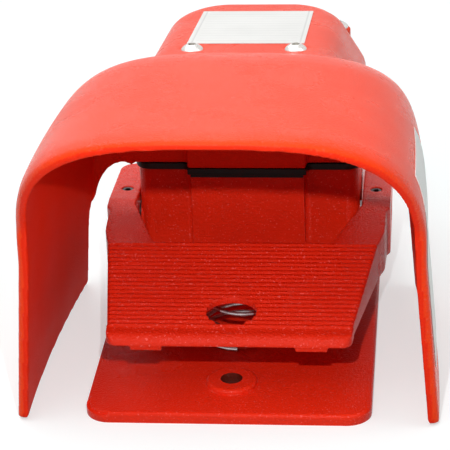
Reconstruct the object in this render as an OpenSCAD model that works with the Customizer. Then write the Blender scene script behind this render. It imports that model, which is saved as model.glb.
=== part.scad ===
// Heavy-duty single-treadle foot switch with a full guard cast on its cover.
// Origin: axis of the front mounting hole, on the plane that the base stands on.
// +Z up, +Y towards the rear of the housing, +X to the right of someone facing the treadle.

/* [Base plate] */
// Width of the base plate
base_w = 114; // [108:1:120]
// Length of the base plate
base_l = 232; // [226:1:240]
// Thickness of the base plate
base_t = 4.5; // [4:0.5:6]
// Corner radius at the front of the base plate
base_front_r = 10; // [6:1:16]
// Corner radius at the rear of the base plate
base_rear_r = 9; // [6:1:11]
// Radius of the plate's upper edge
base_edge_r = 1.5; // [0.5:0.5:2.5]

/* [Mounting holes] */
// Diameter of the front mounting hole
front_hole_d = 8.7; // [7:0.1:9.5]
// Distance from the front edge to the front mounting hole
front_hole_inset = 25.5; // [22:0.5:30]
// Diameter of the boss round the front hole
front_boss_d = 21; // [18:0.5:24]
// Height of the boss above the plate
front_boss_h = 2; // [1:0.5:3]
// Diameter of the two rear mounting holes
rear_hole_d = 6.8; // [5:0.1:8]
// Distance between the two rear mounting holes
rear_hole_spacing = 96; // [92:1:98]
// Distance from the rear edge to the rear mounting holes
rear_hole_inset = 9; // [8:0.5:12]

/* [Housing] */
// Width of the housing
housing_w = 96.8; // [94:0.1:99]
// Distance from the plate's front edge to the housing's middle panel
housing_setback = 121; // [119:0.5:124]
// Width of the middle panel that stands forward
panel_w = 49.2; // [44:0.2:54]
// How far the middle panel stands forward of the corners
panel_step = 6; // [4:0.5:8]
// Wall thickness of the housing
housing_wall = 4; // [3:0.25:5]
// Height of the housing's rim above the floor
housing_h = 54; // [52:0.5:58]
// Radius of the housing's front corners
housing_front_r = 6; // [4:0.5:8]
// Radius of the housing's rear corners
housing_rear_r = 34; // [30:1:38]
// Width of the plate left behind the housing
rear_ledge = 1.5; // [1:0.5:3]

/* [Gasket] */
// Thickness of the cover gasket
gasket_t = 3; // [2:0.25:4]
// How far the gasket stands out from the housing
gasket_proud = 1.2; // [0.5:0.1:1.6]

/* [Cover] */
// Height of the cover's top face at its front
cover_h = 111.1; // [109:0.1:114]
// Slope of the cover's top face towards the rear, in degrees
cover_slope = 8.7; // [7:0.1:10]
// Wall thickness of the cover
cover_wall = 4; // [3:0.25:5]
// How far the cover stands out from the housing
cover_proud = 1; // [0.5:0.1:1.5]
// Width of the cover's flat top
cover_flat_w = 57.2; // [54:0.2:60]
// Radius where the flat top turns into the flanks
cover_crown_r = 13; // [9:0.5:15]
// Angle of the cover's flanks from level, in degrees
flank_angle = 59; // [56:0.5:64]
// How far the cover's rear face leans in, as a share of the flanks
rear_lean = 0.42; // [0.3:0.02:0.6]

/* [Guard] */
// Outer half-width of the guard's legs at spring height
guard_half_w = 78.4; // [77:0.2:82]
// Height at which the legs turn into the arch
guard_spring_z = 69; // [64:1:74]
// Height of the guard's roof at its rear, before it falls to the cover
guard_roof_z = 119; // [117.5:0.5:122]
// Rise of the roof towards the front, per unit of length
guard_rise = 0.111; // [0.08:0.005:0.14]
// Exponent of the arch: higher is squarer
guard_square = 3.17; // [2.6:0.01:3.8]
// Outward lean of the legs towards the floor, per unit of height
guard_flare = 0.076; // [0.05:0.002:0.1]
// Thickness of the guard's shell
guard_t = 4.4; // [3.8:0.1:5.2]
// How far the brow overhangs the front of the base
brow_overhang = 32; // [24:1:38]
// Height on the leg at which the brow starts to lean forward
brow_start_z = 84; // [78:1:90]
// Length over which the brow's outer face rolls down
brow_roll = 11; // [7:0.5:14]
// Gap between the guard's legs and the floor
leg_clear = 1; // [0.5:0.5:2.5]
// Distance from the plate's front edge to the rear edge of the legs
leg_rear = 121.5; // [119:0.5:124]
// Radius of the archway beside the housing
archway_r = 14; // [11:0.5:15]
// Rise of the archways above their centres
archway_rise = 26; // [22:0.5:27]
// Distance of the archways' centres from the middle
archway_x = 55; // [53:0.5:58]
// Height of the archways' centres
archway_z = 31.2; // [28:0.2:36]
// Height where the legs' rear edges start to curve back
leg_edge_z = 31; // [28:0.5:34]
// Fall of the roof from its rear to the cover
roof_fall = 8.2; // [7:0.2:9.5]
// Radius of the guard's rear edge
guard_rear_r = 5; // [3:0.5:6]

/* [Treadle] */
// Width of the treadle across its front
treadle_front_w = 98.8; // [94:0.2:104]
// Width of the treadle across the back of its ridged deck
treadle_back_w = 115; // [112:0.2:118]
// Width across the treadle's arms
treadle_arm_w = 124; // [121.5:0.5:127]
// Distance from the plate's front edge to the back of the ridged deck
deck_back = 89; // [86:0.5:92]
// Distance from the plate's front edge to the treadle's nose
nose_setback = 10; // [8:0.5:12]
// Height of the deck at its back
deck_back_z = 36.4; // [34.5:0.2:38]
// Slope of the deck, in degrees
deck_slope = 5; // [4:0.1:6]
// Thickness of the deck
deck_t = 3.5; // [3:0.1:5]
// Number of ridges across the deck
ridges = 20; // [14:1:24]
// Depth of the ridges
ridge_h = 0.9; // [0.5:0.1:1.3]
// Length of the smooth nose in front of the ridges
nose_l = 16; // [12:0.5:20]
// How far the nose rolls down at its front edge
nose_drop = 0.9; // [0.4:0.1:3]
// Diameter of the hole in the deck
deck_hole_d = 20.2; // [17:0.5:22]
// Distance of that hole behind the plate's front edge
deck_hole_setback = 35.2; // [30:0.2:38]
// Thickness of the skirt under the deck's sides
skirt_t = 3.5; // [3:0.25:4.5]
// Height of the skirt's lower edge at the pivot, above the floor
skirt_low_z = 17; // [14:0.5:20]
// Width of each stop under the nose
stop_w = 12.5; // [10:0.5:16]
// Distance between the two stops' centres
stop_spacing = 66; // [58:1:74]
// How far the stops reach below the deck
stop_h = 3.4; // [2:0.1:4]
// Length of the arms behind the pivot
heel_l = 30; // [24:0.5:33]
// Slope of the arms' pads behind the crease, in degrees
pad_slope = 4; // [2:0.5:8]

/* [Pivot] */
// Distance from the plate's front edge to the pivot axis
pivot_setback = 139.5; // [136:0.5:145]
// Height of the pivot axis
pivot_z = 28; // [26:0.5:29.5]
// Diameter of the pivot shaft
shaft_d = 9.5; // [8:0.1:11]
// Radial running clearance of the shaft in its bushes
shaft_clear = 0.05; // [0.02:0.01:0.1]
// Side clearance between arm and housing
arm_clear = 1.2; // [1:0.1:2]
// Wall of the shaft bushes
bush_wall = 1.5; // [1:0.1:2.2]
// Travel of the treadle, in degrees
travel = 8.8; // [7:0.1:9]
// Diameter of the set screws that hold the arms to the shaft
set_screw_d = 5; // [4:0.1:6]
// Distance of the set screws from the middle
set_screw_x = 55.3; // [55:0.1:57]

/* [Return spring] */
// Distance from the plate's front edge to the spring axis
spring_setback = 68; // [62:1:72]
// Mean diameter of the spring's lower coil
spring_low_d = 32; // [28:1:36]
// Mean diameter of the spring's upper coil
spring_top_d = 23; // [18:1:26]
// Diameter of the spring wire
spring_wire_d = 1.8; // [1.4:0.1:2.2]
// Number of coils
spring_coils = 3; // [2.5:0.5:4.5]

/* [Snap switch] */
// Length of the switch case
switch_l = 49; // [46:0.5:52]
// Width of the switch case
switch_w = 17.5; // [15:0.5:20]
// Height of the switch case
switch_h = 22; // [20:0.5:24]
// Height of the underside of the switch case
switch_z = 52; // [51:0.5:54]
// Diameter of the switch plunger
plunger_d = 5; // [4:0.2:6]
// Free play between striker and plunger
plunger_gap = 0.7; // [0.3:0.1:1]
// Distance from the pivot axis back to the plunger
striker_arm = 26; // [24:0.5:28]

/* [Screws] */
// Diameter of the cover screws' heads
cover_head_d = 9.4; // [8.5:0.1:10]
// Height of the cover screws' heads
cover_head_h = 2.9; // [2.4:0.1:3.4]
// Thread diameter of the cover screws
cover_screw_d = 4.2; // [4:0.1:5]
// Distance between the two front cover screws
front_screw_spacing = 44.2; // [42:0.2:48]
// Distance from the plate's front edge to the front cover screws
front_screw_setback = 126.6; // [125:0.5:130]
// Distance between the two rear cover screws
rear_screw_spacing = 72; // [70:1:80]
// Distance from the plate's front edge to the rear cover screws
rear_screw_setback = 214; // [211:0.5:216]
// Height of the rear screws' seats
rear_seat_z = 87.5; // [85:0.5:90]

/* [Conduit entry] */
// Bore of the conduit entry
conduit_d = 20; // [17:0.1:21]
// Diameter of the conduit hub
conduit_hub_d = 30; // [27:0.5:34]
// Length of the hub outside the rear wall
conduit_hub_l = 9; // [6:0.5:12]
// Height of the conduit axis
conduit_z = 27; // [24:0.5:30]

/* [Labels] */
// Width of the label on the cover
label_w = 50.5; // [44:0.5:53]
// Length of the label on the cover
label_l = 71; // [60:1:74]
// Thickness of the labels
label_t = 0.3; // [0.2:0.1:0.5]
// Distance of the cover label behind the plate's front edge
label_setback = 135; // [132:0.5:140]
// Length of the blank label on the guard's side
side_label_l = 54; // [45:1:60]
// Distance of that label behind the plate's front edge
side_label_setback = 6; // [4:0.5:12]

/* [Hidden] */
$fn = 48;
fit = 0.05;          // radial clearance of a screw in its tapped hole
free = 0.3;          // radial clearance of a screw in a plain hole
eps = 0.01;

// Stations along Y, measured from the plate's front edge
front_y = -front_hole_inset;
rear_y = front_y + base_l;
panel_y = front_y + housing_setback;
corner_y = panel_y + panel_step;
back_y = rear_y - rear_ledge;
pivot_y = front_y + pivot_setback;
spring_y = front_y + spring_setback;
deck_back_y = front_y + deck_back;
nose_y = front_y + nose_setback;
leg_rear_y = front_y + leg_rear;
front_screw_y = front_y + front_screw_setback;
rear_screw_y = front_y + rear_screw_setback;
hole_x = rear_hole_spacing / 2;
cover_z = housing_h + gasket_t;
wall_x = housing_w / 2;
arm_in_x = wall_x + arm_clear;
arm_out_x = treadle_arm_w / 2;
bush_d = shaft_d + 2 * bush_wall;
bush_l = 8;
seal_section = 1.6;
bush_boss_l = bush_l + seal_section + 0.6 - housing_wall;

// ---- plain helpers ---------------------------------------------------------

function arc(c, r, a0, a1, n) =
  [for (i = [0:n]) let (a = a0 + (a1 - a0) * i / n) [c[0] + r * cos(a), c[1] + r * sin(a)]];
function flip(points) = [for (i = [len(points) - 1:-1:0]) [-points[i][0], points[i][1]]];
function lerp(a, b, t) = a + (b - a) * t;

// Plan outline with one radius at the front corners and another at the rear
module rounded_plan(w, y0, y1, rf, rr) {
  translate([-w / 2, y0 + rf]) square([w, y1 - rr - y0 - rf]);
  translate([-w / 2 + rf, y0]) square([w - 2 * rf, y1 - y0 - rr]);
  translate([-w / 2 + rr, y0 + rf]) square([w - 2 * rr, y1 - y0 - rf]);
  for (s = [-1, 1]) {
    translate([s * (w / 2 - rf), y0 + rf]) circle(rf);
    translate([s * (w / 2 - rr), y1 - rr]) circle(rr);
  }
}

// Slab on that plan whose upper edge is rounded by radius e
module rounded_slab(w, y0, y1, rf, rr, t, e) {
  linear_extrude(t - e) rounded_plan(w, y0, y1, rf, rr);
  linear_extrude(t) rounded_plan(w - 2 * e, y0 + e, y1 - e, rf - e, rr - e);
  for (s = [-1, 1]) {
    translate([s * (w / 2 - e), y0 + rf, t - e]) rotate([-90, 0, 0]) cylinder(r = e, h = y1 - rr - y0 - rf);
    translate([s * (w / 2 - rf), y0 + rf, t - e]) rotate_extrude() translate([rf - e, 0]) circle(e);
    translate([s * (w / 2 - rr), y1 - rr, t - e]) rotate_extrude() translate([rr - e, 0]) circle(e);
  }
  translate([-w / 2 + rf, y0 + e, t - e]) rotate([0, 90, 0]) cylinder(r = e, h = w - 2 * rf);
  translate([-w / 2 + rr, y1 - e, t - e]) rotate([0, 90, 0]) cylinder(r = e, h = w - 2 * rr);
}

// A profile drawn in Y and Z, extruded along X from x0 to x1
module along_x(x0, x1) {
  translate([x0, 0, 0]) rotate([90, 0, 90]) linear_extrude(x1 - x0) children();
}

module rod_x(x0, x1, y, z, d) {
  translate([x0, y, z]) rotate([0, 90, 0]) cylinder(d = d, h = x1 - x0);
}

module ring(d_out, d_in, h) {
  difference() {
    cylinder(d = d_out, h = h);
    translate([0, 0, -1]) cylinder(d = d_in, h = h + 2);
  }
}

// Closed mesh from a grid of points: rows of equal length, first and last rows capped
function grid_faces(rows, cols, closed) = [
  for (i = [0:rows - 2], j = [0:closed ? cols - 1 : cols - 2])
    let (a = i * cols + j, b = i * cols + (j + 1) % cols, c = a + cols, d = b + cols)
    each [[a, b, d], [a, d, c]]];

// ---- base casting ----------------------------------------------------------

panel_fillet = 2.5;   // radius in the corners beside the middle panel
module housing_plan(grow = 0) {
  rounded_plan(housing_w + 2 * grow, corner_y - grow, back_y + grow,
    housing_front_r + grow, housing_rear_r + grow);
  translate([-panel_w / 2 - grow, panel_y - grow])
    square([panel_w + 2 * grow, 4 * panel_step]);
  for (s = [-1, 1]) difference() {
    translate([s * (panel_w / 2 + grow + panel_fillet / 2 - eps) - panel_fillet / 2, corner_y - grow - panel_fillet])
      square([panel_fillet, panel_fillet + eps]);
    translate([s * (panel_w / 2 + grow + panel_fillet), corner_y - grow - panel_fillet]) circle(panel_fillet);
  }
}

module at_cover_screws() {
  for (s = [-1, 1]) {
    translate([s * front_screw_spacing / 2, front_screw_y, 0]) children();
    translate([s * rear_screw_spacing / 2, rear_screw_y, 0]) children();
  }
}

column_d = cover_screw_d + 6;
tap_depth = 16;
switch_y = pivot_y + striker_arm;
plate_x = switch_w / 2 + 0.1;
plate_t = 2.5;
foot_w = 14;
foot_y = [switch_y - 8, switch_y + 22];
ground_x = -28;
ground_y = pivot_y + 36;

module base_casting() color([0.78, 0.16, 0.07]) {
  difference() {
    union() {
      difference() {
        union() {
          rounded_slab(base_w, front_y, rear_y, base_front_r, base_rear_r, base_t, base_edge_r);
          linear_extrude(housing_h) housing_plan();
        }
        translate([0, 0, base_t]) linear_extrude(housing_h) housing_plan(-housing_wall);
      }
      front_boss();
      translate([0, spring_y, 0]) cylinder(d = spring_low_d - spring_wire_d - 1.6, h = base_t + 1.5);
      intersection() {
        at_cover_screws() cylinder(d = column_d, h = housing_h);
        linear_extrude(housing_h) housing_plan(-eps);
      }
      for (s = [-1, 1])
        rod_x(s > 0 ? wall_x - housing_wall - bush_boss_l : -wall_x + eps,
          s > 0 ? wall_x - eps : -wall_x + housing_wall + bush_boss_l, pivot_y, pivot_z, bush_d + 8);
      translate([0, back_y - housing_wall, conduit_z]) rotate([-90, 0, 0])
        cylinder(d = conduit_hub_d, h = housing_wall + conduit_hub_l);
      for (y = foot_y)
        translate([plate_x + foot_w / 2, y, 0]) cylinder(d = 9, h = base_t + 3);
      translate([ground_x, ground_y, 0]) cylinder(d = 9, h = base_t + 3);
    }
    translate([0, 0, -1]) cylinder(d = front_hole_d, h = base_t + front_boss_h + 2);
    for (s = [-1, 1])
      translate([s * hole_x, rear_y - rear_hole_inset, -1]) cylinder(d = rear_hole_d, h = base_t + 2);
    at_cover_screws() translate([0, 0, housing_h - tap_depth])
      cylinder(d = cover_screw_d + 2 * fit, h = tap_depth + 1);
    rod_x(-wall_x - 1, wall_x + 1, pivot_y, pivot_z, bush_d + 2 * fit);
    for (s = [-1, 1])
      rod_x(s > 0 ? wall_x - seal_section - 0.6 : -wall_x - 1,
        s > 0 ? wall_x + 1 : -wall_x + seal_section + 0.6, pivot_y, pivot_z,
        shaft_d + 4 * seal_section);
    translate([0, back_y - housing_wall - 1, conduit_z]) rotate([-90, 0, 0])
      cylinder(d = conduit_d, h = housing_wall + conduit_hub_l + 2);
    for (y = foot_y)
      translate([plate_x + foot_w / 2, y, 1.5]) cylinder(d = 4 + 2 * fit, h = base_t + 3);
    translate([ground_x, ground_y, 1.5]) cylinder(d = 4 + 2 * fit, h = base_t + 3);
  }
}

// Low round boss with a rounded shoulder
module front_boss() {
  e = front_boss_h * 0.8;
  cylinder(d = front_boss_d, h = base_t + front_boss_h - e);
  cylinder(d = front_boss_d - 2 * e, h = base_t + front_boss_h);
  translate([0, 0, base_t + front_boss_h - e])
    rotate_extrude() translate([front_boss_d / 2 - e, 0]) circle(e);
}

module cover_gasket() color([0.05, 0.05, 0.05]) {
  translate([0, 0, housing_h]) difference() {
    linear_extrude(gasket_t) housing_plan(gasket_proud);
    translate([0, 0, -1]) linear_extrude(gasket_t + 2) difference() {
      housing_plan(-housing_wall);
      at_cover_screws() circle(d = column_d);
    }
    at_cover_screws() translate([0, 0, -1]) cylinder(d = cover_screw_d + 2 * free, h = gasket_t + 2);
  }
}

// ---- cover and guard, one casting ------------------------------------------

cover_w = housing_w + 2 * cover_proud;
cover_back_y = back_y + cover_proud;
crown_x = cover_flat_w / 2 + cover_crown_r * sin(flank_angle);
crown_drop = cover_crown_r * (1 - cos(flank_angle));
foot_r = 12;         // radius where the flank turns upright
foot_x = cover_w / 2 - foot_r * (1 - sin(flank_angle));
foot_drop = crown_drop + (foot_x - crown_x) * tan(flank_angle);
function cover_top(y) = cover_h - tan(cover_slope) * (y - panel_y);

// Flank of the cover from its flat top down: [half-width, drop below the top]
flank = concat(
  [for (i = [0:5]) let (a = flank_angle * i / 5)
    [cover_flat_w / 2 + cover_crown_r * sin(a), cover_crown_r * (1 - cos(a))]],
  [for (i = [0:3]) let (a = lerp(flank_angle, 90, i / 3))
    [cover_w / 2 - foot_r * (1 - sin(a)), foot_drop + foot_r * (cos(flank_angle) - cos(a))]]);

// Plan of the cover where its sides have come in by dx and its rear by dy
function cover_ring(g, dx, dy, y0) = let (
    w = cover_w / 2 - dx - g, y1 = cover_back_y - dy - g,
    rx = max(4, housing_rear_r + cover_proud - dx - g), ry = max(4, housing_rear_r + cover_proud - dy - g),
    side = concat([[w, y0]], [for (i = [0:8]) let (a = i * 11.25) [w - rx + rx * cos(a), y1 - ry + ry * sin(a)]]))
  concat(side, flip(side));

// Where each level of the cover starts: within the thickness of the guard's roof, then of its rear wall
function cover_start(drop) = front_y + lookup(drop, [[0, 113.5], [1.9, 115], [3.56, 120], [5.8, 126], [7, 128]]);

// Cover body: g shrinks it to the cavity inside the walls, which starts at y0
module cover_body(g, y0, z0) {
  starts = [for (p = flank) g > 0 ? y0 : cover_start(p[1])];
  rings = concat(
    [[for (p = cover_ring(g, 0, 0, starts[len(flank) - 1])) [p[0], p[1], z0]]],
    [for (k = [len(flank) - 1:-1:0]) let (dx = cover_w / 2 - flank[k][0])
      [for (p = cover_ring(g, dx, dx * rear_lean, starts[k])) [p[0], p[1], cover_top(p[1]) - flank[k][1] - g]]]);
  n = len(rings[0]);
  m = len(rings);
  polyhedron([for (r = rings) each r], concat(
    [[for (j = [n - 1:-1:0]) j]], [for (f = grid_faces(m, n, true)) [f[0], f[2], f[1]]],
    [[for (j = [0:n - 1]) (m - 1) * n + j]]), convexity = 4);
}

guard_rear_y = corner_y - gasket_proud + guard_t;
roof_bend_y = front_y + 74;
roof_ref_y = front_y + 118;
roof_ref_l = roof_ref_y - roof_bend_y;
leg_share = 0.3;     // share of the section that is the straight leg
arch_steps = 18;     // facets of the arch on each side

// Height of the guard's crown and half-width of its legs at a station
function crown_z(y) = guard_roof_z + guard_rise * (roof_ref_y - y)
  - roof_fall * pow(max(0, y - roof_bend_y) / roof_ref_l, 2);
function leg_x(y) = let (d = (y - front_y) / 100) guard_half_w + 2 * d - 6.1 * d * d;

// Point of the guard's section: q runs from the leg's foot (0) to the crown (1)
function guard_point(q, y, g, s) = let (
    a = leg_x(y) - g - s, b = crown_z(y) - guard_spring_z - g - s, t = 90 * (q - leg_share) / (1 - leg_share),
    z = lerp(leg_clear, guard_spring_z, q / leg_share), p = 2 / guard_square)
  q < leg_share ? [a + guard_flare * (guard_spring_z - z), y, z]
    : [a * pow(max(0, cos(t)), p), y, guard_spring_z + b * pow(max(0, sin(t)), p)];

// How far up the brow a section point lies, and where its front edge is
function brow_share(q) = let (z = guard_point(q, front_y, 0, 0)[2])
  max(0, (z - brow_start_z) / (crown_z(front_y) - brow_start_z));
function brow_y(q) = front_y - brow_overhang * pow(brow_share(q), 1.18);

qs = [for (i = [0:arch_steps + 1]) i == 0 ? 0 : leg_share + (1 - leg_share) * (i - 1) / arch_steps];
half = len(qs);
function across(points) = concat(points, [for (i = [half - 2:-1:0]) [-points[i][0], points[i][1], points[i][2]]]);

// Outer face: rolls down to the brow, runs back, and rounds off at the rear
roll_edge = 1.4;
function outer_station(k) = across([for (q = qs) let (
    y0 = brow_y(q), roll = lerp(2.5, brow_roll, min(1, brow_share(q) * 2)),
    a = 90 * k / 4, y1 = y0 + roll, y2 = guard_rear_y - guard_rear_r)
  k <= 4 ? guard_point(q, y0 + roll * (1 - cos(a)), 0, (guard_t - roll_edge) * (1 - sin(a)))
    : k <= 14 ? guard_point(q, lerp(y1, y2, (k - 4) / 10), 0, 0)
    : guard_point(q, y2 + guard_rear_r * sin(30 * (k - 14)), 0, guard_rear_r * 0.8 * (1 - cos(30 * (k - 14))))]);
function inner_station(k) = across([for (q = qs) let (y0 = brow_y(q))
  guard_point(q, lerp(y0, guard_rear_y - guard_t, k / 8), guard_t, 0)]);

// Block inside the outer face: legs, arch, brow roll and rounded rear, in one closed mesh
cols = 2 * half - 1;
// Closes an arch of points with level rungs from one side to the other
function ladder(first, turned) = [for (j = [0:half - 2]) let (
    a = first + j, b = a + 1, c = first + cols - 2 - j, d = c + 1, q = b == c ? [a, b, d] : [a, b, c, d])
  turned ? [for (i = [len(q) - 1:-1:0]) q[i]] : q];
// The front edge is not flat, so outer and inner faces are joined along it by a strip
module guard_block() {
  outer = [for (k = [0:17]) each outer_station(k)];
  inner = [for (k = [0:8]) each inner_station(k)];
  no = 18 * cols;
  far = cols - 1;
  polyhedron(concat(outer, inner), concat(
    grid_faces(18, cols, false),
    [for (f = grid_faces(9, cols, false)) [no + f[0], no + f[2], no + f[1]]],
    [for (j = [0:far - 1]) each [[j, no + j, no + j + 1], [j, no + j + 1, j + 1]]],
    ladder(17 * cols, false),
    ladder(no + 8 * cols, true),
    [concat([for (k = [0:17]) k * cols], [for (k = [8:-1:0]) no + k * cols])],
    [concat([for (k = [0:8]) no + k * cols + far], [for (k = [17:-1:0]) k * cols + far])],
    [[no + 8 * cols, 17 * cols, 17 * cols + far, no + 8 * cols + far]]), convexity = 10);
}

// Archways beside the housing, seen from the front
module archway_cut() {
  inner_x = wall_x + gasket_proud + 0.8;
  a = acos((archway_x - inner_x) / archway_r);
  side = concat([for (p = arc([0, 0], 1, 180, a, 16))
    [archway_r * p[0] - archway_x, archway_rise * p[1] + archway_z]],
    [[-inner_x, cover_z]]);
  translate([0, guard_rear_y + 1, 0]) rotate([90, 0, 0]) linear_extrude(guard_t + 2)
    polygon(concat([[-archway_x - archway_r, -1]], side, flip(side), [[archway_x + archway_r, -1]]));
}

// Clears the legs behind their upright rear edge, which curves back at the top
module leg_cut() {
  r = guard_rear_y - leg_rear_y + 1;
  along_x(-2 * guard_half_w, 2 * guard_half_w)
    polygon(concat([[leg_rear_y, -1]], arc([leg_rear_y + r, leg_edge_z], r, 180, 90, 8), [[leg_rear_y + r, -1]]));
}

front_seat_z = cover_top(front_screw_y) - 0.8;
module at_seats() {
  for (s = [-1, 1]) {
    translate([s * front_screw_spacing / 2, front_screw_y, front_seat_z]) children();
    translate([s * rear_screw_spacing / 2, rear_screw_y, rear_seat_z]) children();
  }
}

module cover_and_guard() color([0.85, 0.2, 0.1]) {
  difference() {
    union() {
      difference() {
        union() {
          difference() {
            guard_block();
            archway_cut();
            leg_cut();
          }
          cover_body(0, 0, cover_z);
          translate([-panel_w / 2 - gasket_proud, panel_y - gasket_proud, cover_z])
            cube([panel_w + 2 * gasket_proud, panel_step + 3, cover_top(corner_y) - cover_z - guard_t]);
        }
        difference() {
          cover_body(cover_wall, corner_y + housing_wall, cover_z - 1);
          at_cover_screws() cylinder(d = column_d + 5, h = 2 * cover_h);
        }
      }
      for (s = [-1, 1])
        translate([s * rear_screw_spacing / 2, rear_screw_y, cover_z + 8])
          cylinder(d = column_d + 0.8, h = rear_seat_z - cover_z - 8);
    }
    at_cover_screws() translate([0, 0, cover_z - 1])
      cylinder(d = cover_screw_d + 2 * free, h = cover_h);
    at_seats() cylinder(d = cover_head_d + 1.6, h = 40);
  }
}

// Button head with a hexagon socket, seat at z = 0, shank below
module socket_screw(d, l, head_w, head_h, key) {
  difference() {
    union() {
      translate([0, 0, -l]) cylinder(d = d, h = l + eps);
      rotate_extrude() intersection() {
        translate([0, head_h - head_w * 0.62]) circle(head_w * 0.62);
        square([head_w / 2, head_h]);
      }
    }
    translate([0, 0, head_h * 0.3]) cylinder(d = key / cos(30), h = head_h, $fn = 6);
  }
}

module front_cover_screws() color([0.55, 0.55, 0.56]) {
  for (s = [-1, 1])
    translate([s * front_screw_spacing / 2, front_screw_y, front_seat_z])
      socket_screw(cover_screw_d, front_seat_z - housing_h + tap_depth - 1, cover_head_d, cover_head_h, 3.2);
}

module rear_cover_screws() color([0.55, 0.55, 0.56]) {
  for (s = [-1, 1])
    translate([s * rear_screw_spacing / 2, rear_screw_y, rear_seat_z])
      socket_screw(cover_screw_d, rear_seat_z - housing_h + tap_depth - 1, cover_head_d, cover_head_h, 3.2);
}

module cover_label() color([0.93, 0.92, 0.9]) {
  y0 = front_y + label_setback;
  y1 = y0 + label_l * cos(cover_slope);
  along_x(-label_w / 2, label_w / 2) polygon([
    [y0, cover_top(y0) + eps], [y1, cover_top(y1) + eps],
    [y1, cover_top(y1) + label_t], [y0, cover_top(y0) + label_t]]);
}

// Blank plate that follows the outside of the right leg
module guard_side_label() color([0.93, 0.92, 0.9]) {
  y0 = front_y + side_label_setback;
  rows = [for (g = [-0.04, -0.04 - label_t]) [for (k = [0:6]) [for (i = [1:7])
    guard_point(i == 1 ? leg_share / 3 : qs[i - 1], lerp(y0, y0 + side_label_l, k / 6), g, 0)]]];
  n = 7;
  under = 49;
  path = concat([for (i = [0:5]) i], [for (k = [0:5]) k * n + 6], [for (i = [6:-1:1]) 42 + i], [for (k = [6:-1:1]) k * n]);
  polyhedron([for (g = rows) each [for (r = g) each r]], concat(
    [for (f = grid_faces(7, 7, false)) [f[0], f[2], f[1]]],
    [for (f = grid_faces(7, 7, false)) [under + f[0], under + f[1], under + f[2]]],
    [for (i = [0:len(path) - 1]) let (a = path[i], b = path[(i + 1) % len(path)])
      each [[a, b, under + b], [a, under + b, under + a]]]), convexity = 4);
}

// ---- treadle ---------------------------------------------------------------

heel_y = pivot_y + heel_l;
ridge_front_y = nose_y + nose_l;
crease_y = pivot_y - 13;
function deck_z(y) = deck_back_z - tan(deck_slope) * (deck_back_y - y);
function pad_z(y) = deck_z(crease_y) - tan(pad_slope) * (y - crease_y);

// Right-hand plan outline, drawn in by w along every edge
function treadle_side(w) = let (x0 = treadle_front_w / 2 - 1.2, x1 = treadle_back_w / 2, r = 7) concat(
  arc([x0 - r, nose_y + r], r - w, -90, 0, 6),
  [[treadle_front_w / 2 - w, ridge_front_y], [x1 - w, deck_back_y], [arm_out_x - 2 - w, deck_back_y + 11],
    [arm_out_x - 1.5 - w, deck_back_y + 28], [arm_out_x - w, deck_back_y + 31]],
  arc([arm_out_x - 8, heel_y - 8], 8 - w, 0, 90, 6),
  [[arm_in_x + w, heel_y - w], [arm_in_x + w, deck_back_y + 33 + w / 3],
    [arm_in_x - 11.6 + w * 0.8, deck_back_y + 1 - w]]);
module treadle_plan(w) {
  polygon(concat(treadle_side(w), flip(treadle_side(w))));
}

// Top line of the treadle from the nose to the heel, lowered by s
function top_line(s) = concat(
  [for (i = [0:6]) let (b = 15 * i, y = nose_y + nose_l * (1 - cos(b)))
    [y, deck_z(y) - nose_drop * (1 - sin(b)) - s]],
  [[crease_y, deck_z(crease_y) - s], [heel_y, pad_z(heel_y) - s]]);

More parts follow.
